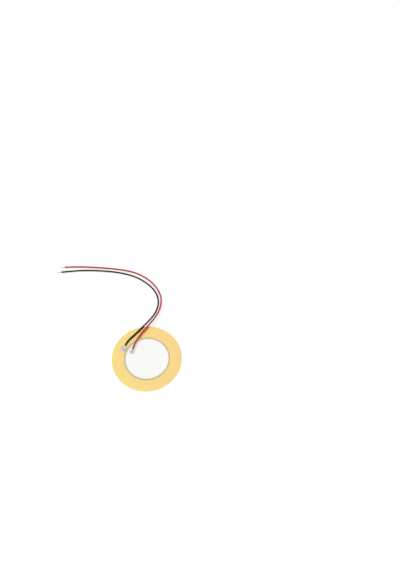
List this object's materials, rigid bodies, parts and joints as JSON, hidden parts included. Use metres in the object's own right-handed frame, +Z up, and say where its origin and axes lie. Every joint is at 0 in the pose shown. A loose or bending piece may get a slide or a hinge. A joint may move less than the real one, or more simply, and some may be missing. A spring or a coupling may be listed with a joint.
{
  "type": "piezo buzzer disc",
  "caption": "Piezo buzzer element: a silvered ceramic wafer glued to a round brass plate, with soldered black and red flying leads that end in tinned tips.",
  "frame": {"origin": "centre of the brass plate's underside", "axes": "+Z up through the ceramic wafer; the leads leave over the plate's rim towards +Y and end towards -X"},
  "size_m": [0.0455, 0.0571, 0.0014],
  "materials": {
    "brass": "satin",
    "adhesive": "satin",
    "fired_silver": "matte",
    "piezo_ceramic": "matte",
    "solder": "polished",
    "black_pvc": "satin",
    "red_pvc": "satin",
    "tinned_copper": "satin"
  },
  "bodies": {
    "root": {"brass_plate": "brass", "bond_layer": "adhesive", "lower_electrode": "fired_silver", "ceramic_disc": "piezo_ceramic", "upper_electrode": "fired_silver", "plate_solder": "solder", "electrode_solder": "solder", "black_insulation": "black_pvc", "black_conductor": "tinned_copper", "red_insulation": "red_pvc", "red_conductor": "tinned_copper"}
  },
  "joints": []
}
